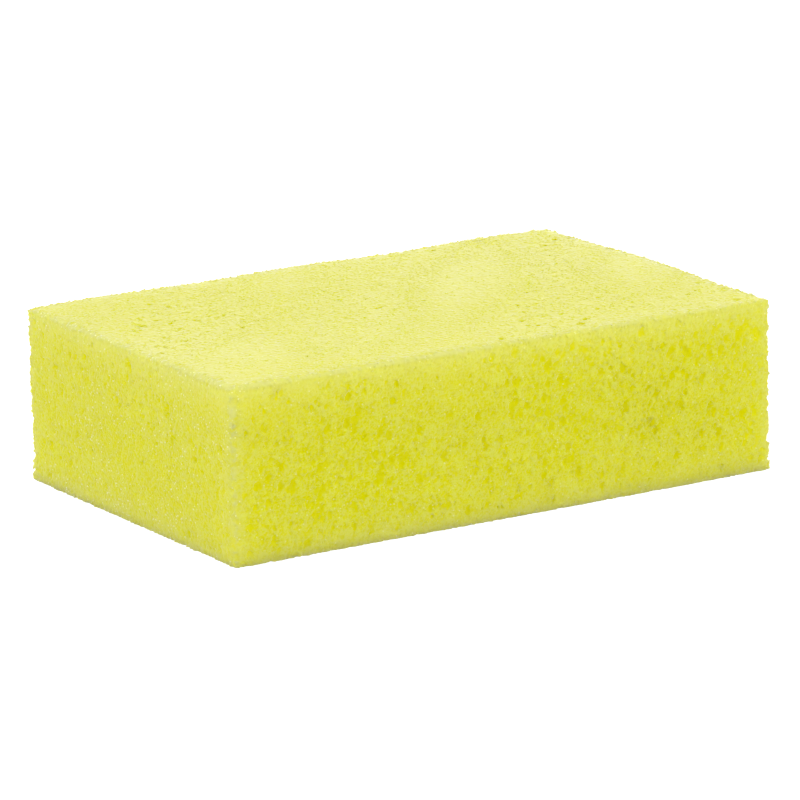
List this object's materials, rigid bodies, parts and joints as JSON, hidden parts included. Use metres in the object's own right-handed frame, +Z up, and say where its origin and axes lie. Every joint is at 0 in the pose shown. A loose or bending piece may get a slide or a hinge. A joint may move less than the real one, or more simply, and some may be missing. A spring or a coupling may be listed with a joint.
{
  "type": "foam sponge block",
  "caption": "Plain rectangular block of open-cell foam, a hand sponge for washing down, wiping and applying paste or paint.",
  "frame": {"origin": "middle of the underside, the broad face that the block lies on", "axes": "+X along the block's length, +Y across its width, +Z up through its thickness"},
  "size_m": [0.195, 0.125, 0.055],
  "materials": {
    "foam": "matte"
  },
  "bodies": {
    "root": {"foam_block": "foam"}
  },
  "joints": []
}
